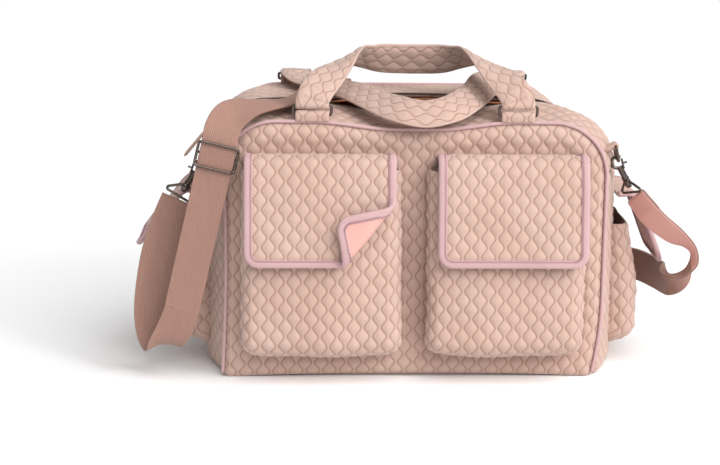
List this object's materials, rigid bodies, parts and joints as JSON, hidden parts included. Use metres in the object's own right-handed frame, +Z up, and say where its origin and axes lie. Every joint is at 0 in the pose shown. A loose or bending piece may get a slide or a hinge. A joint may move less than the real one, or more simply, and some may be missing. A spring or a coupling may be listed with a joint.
{
  "type": "diaper bag",
  "caption": "Quilted diaper bag with a zipped top, flapped front and end pockets, padded carry handles on metal rings, and a clip-on webbing shoulder strap.",
  "frame": {"origin": "centre of the base's underside, on the surface the bag stands on", "axes": "+X to the right as seen from the front, along the bag's length, +Y to the back, +Z up"},
  "size_m": [0.6276, 0.2716, 0.3602],
  "materials": {
    "quilted_cloth": "matte quilted jersey",
    "binding_tape": "matte knitted tape",
    "zip_tape": "woven zip tape with teeth",
    "lining_cloth": "smooth woven lining",
    "board": "matte",
    "webbing": "ribbed webbing",
    "pull_tab": "matte",
    "gunmetal": "polished dark plating"
  },
  "bodies": {
    "bag": {"front_panel": "quilted_cloth", "back_panel": "quilted_cloth", "left_gusset": "quilted_cloth", "right_gusset": "quilted_cloth", "top_gusset_front": "quilted_cloth", "top_gusset_back": "quilted_cloth", "base_panel": "quilted_cloth", "base_board": "board", "lining": "lining_cloth", "front_piping": "binding_tape", "back_piping": "binding_tape", "zip_tape_front": "zip_tape", "zip_tape_back": "zip_tape", "pocket_left": "quilted_cloth", "pocket_right": "quilted_cloth", "pocket_end_left": "quilted_cloth", "pocket_end_right": "quilted_cloth", "tabs_front": "quilted_cloth", "tabs_back": "quilted_cloth", "ring_tab_left": "quilted_cloth", "ring_tab_right": "quilted_cloth", "end_ring_left": "gunmetal", "end_ring_right": "gunmetal", "strap_loop_left": "gunmetal", "strap_loop_right": "gunmetal", "shoulder_strap": "webbing"},
    "front_handle": {"handle_front": "quilted_cloth", "rings_front": "gunmetal"},
    "back_handle": {"handle_back": "quilted_cloth", "rings_back": "gunmetal"},
    "front_flap_left": {"flap_left": "quilted_cloth", "flap_left_binding": "binding_tape"},
    "front_flap_right": {"flap_right": "quilted_cloth", "flap_right_binding": "binding_tape"},
    "end_flap_left": {"flap_end_left": "quilted_cloth", "flap_end_left_binding": "binding_tape"},
    "end_flap_right": {"flap_end_right": "quilted_cloth", "flap_end_right_binding": "binding_tape"},
    "zip_slider": {"zip_slider": "gunmetal"},
    "zip_pull": {"zip_pull": "pull_tab"},
    "hook_left": {"hook_left": "gunmetal"},
    "hook_right": {"hook_right": "gunmetal"},
    "gate_left": {"gate_left": "gunmetal"},
    "gate_right": {"gate_right": "gunmetal"},
    "strap_slider": {"strap_slider": "gunmetal"}
  },
  "joints": [
    {"name": "front_handle_swing", "type": "hinge", "parent": "bag", "child": "front_handle", "pos_m": [0, -0.097, 0.2925], "axis": [-1, 0, 0], "range_deg": [-120, 0]},
    {"name": "back_handle_swing", "type": "hinge", "parent": "bag", "child": "back_handle", "pos_m": [0, 0.086, 0.307], "axis": [-1, 0, 0], "range_deg": [0, 54.5]},
    {"name": "front_flap_left_lift", "type": "hinge", "parent": "bag", "child": "front_flap_left", "pos_m": [-0.102, -0.108, 0.252], "axis": [-1, 0, 0], "range_deg": [0, 100]},
    {"name": "front_flap_right_lift", "type": "hinge", "parent": "bag", "child": "front_flap_right", "pos_m": [0.105, -0.108, 0.252], "axis": [-1, 0, 0], "range_deg": [0, 100]},
    {"name": "end_flap_left_lift", "type": "hinge", "parent": "bag", "child": "end_flap_left", "pos_m": [-0.237, 0, 0.197], "axis": [0, 1, 0], "range_deg": [-31, 50]},
    {"name": "end_flap_right_lift", "type": "hinge", "parent": "bag", "child": "end_flap_right", "pos_m": [0.237, 0, 0.197], "axis": [0, -1, 0], "range_deg": [-13, 75]},
    {"name": "zip_slider_run", "type": "hinge", "parent": "bag", "child": "zip_slider", "pos_m": [-0.161, -0.02, 0.23], "axis": [0, 1, 0], "range_deg": [0, 50]},
    {"name": "zip_pull_swing", "type": "hinge", "parent": "zip_slider", "child": "zip_pull", "pos_m": [-0.22612, -0.02, 0.2676], "axis": [0, 1, 0], "range_deg": [-22, 60]},
    {"name": "hook_left_swivel", "type": "hinge", "parent": "bag", "child": "hook_left", "pos_m": [-0.24395, -0.072, 0.21728], "axis": [-0.5299, 0, -0.848], "range_deg": [-20, 20]},
    {"name": "hook_right_swivel", "type": "hinge", "parent": "bag", "child": "hook_right", "pos_m": [0.23204, -0.072, 0.22476], "axis": [0.4695, 0, -0.8829], "range_deg": [-20, 20]},
    {"name": "gate_left_open", "type": "hinge", "parent": "hook_left", "child": "gate_left", "pos_m": [-0.2434, -0.072, 0.22495], "axis": [0, 1, 0], "range_deg": [0, 9], "stiffness_Nm_per_rad": 0.01},
    {"name": "gate_right_open", "type": "hinge", "parent": "hook_right", "child": "gate_right", "pos_m": [0.23203, -0.072, 0.23245], "axis": [0, -1, 0], "range_deg": [0, 9], "stiffness_Nm_per_rad": 0.01},
    {"name": "strap_slider_slide", "type": "slide", "parent": "bag", "child": "strap_slider", "axis": [0.2282, 0, 0.9736], "range_m": [-0.13, 0]}
  ],
  "couplings": [
    {"joint": "back_handle_swing", "follows": "front_handle_swing", "ratio": -0.45}
  ]
}
